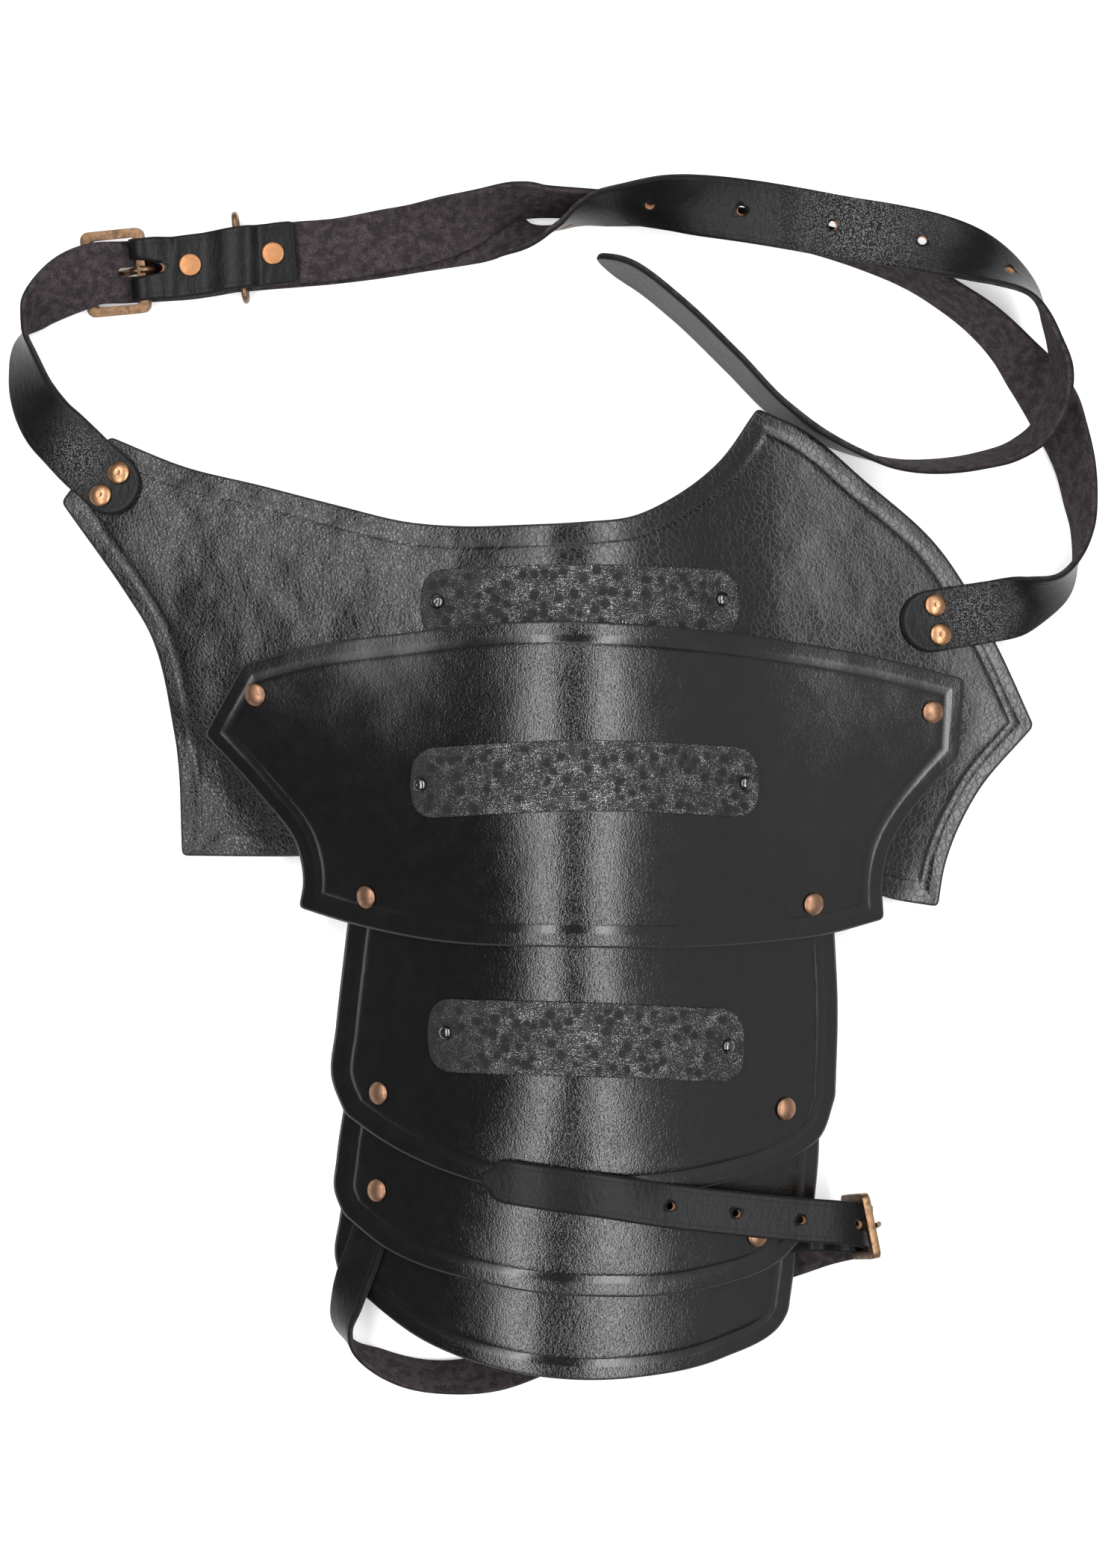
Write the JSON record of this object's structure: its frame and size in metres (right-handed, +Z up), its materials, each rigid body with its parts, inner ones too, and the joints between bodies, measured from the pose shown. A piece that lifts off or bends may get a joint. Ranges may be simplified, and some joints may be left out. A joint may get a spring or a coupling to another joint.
{
  "type": "leather pauldron",
  "caption": "Arched leather shoulder guard of riveted lames with hammered steel strips and buckled chest and arm straps, lying flat.",
  "frame": {"origin": "on the surface that it lies on, under the middle of its bounding box", "axes": "+Z up from the surface, +Y from the arm end towards the neck, +X across the shoulder"},
  "size_m": [0.4674, 0.5191, 0.0832],
  "materials": {
    "plate_leather": "black grained leather, semi-gloss",
    "strap_leather": "black strap leather, semi-gloss grain and matte flesh side",
    "steel": "hammered dark steel",
    "black_steel": "blackened steel pins with worn heads",
    "copper": "antique copper caps",
    "antique_brass": "antique brass wire"
  },
  "bodies": {
    "root": {"shoulder_plate": "plate_leather", "lame_1": "plate_leather", "lame_2": "plate_leather", "lame_3": "plate_leather", "lame_4": "plate_leather", "chest_billet_strap": "strap_leather", "chest_buckle_strap": "strap_leather", "arm_billet_strap": "strap_leather", "arm_buckle_strap": "strap_leather", "steel_strip_1": "steel", "steel_strip_2": "steel", "steel_strip_3": "steel", "lame_rivet_1": "copper", "lame_rivet_2": "copper", "lame_rivet_3": "copper", "lame_rivet_4": "copper", "lame_rivet_5": "copper", "lame_rivet_6": "copper", "lame_rivet_7": "copper", "lame_rivet_8": "copper", "chest_rivet_1": "copper", "chest_rivet_2": "copper", "chest_rivet_3": "copper", "chest_rivet_4": "copper", "fold_rivet_1": "copper", "fold_rivet_2": "copper", "strip_rivet_1": "black_steel", "strip_rivet_2": "black_steel", "strip_rivet_3": "black_steel", "strip_rivet_4": "black_steel", "strip_rivet_5": "black_steel", "strip_rivet_6": "black_steel", "chest_buckle_frame": "antique_brass", "chest_prong": "antique_brass", "keeper_ring": "antique_brass", "arm_buckle_frame": "antique_brass", "arm_prong": "antique_brass"}
  },
  "joints": []
}
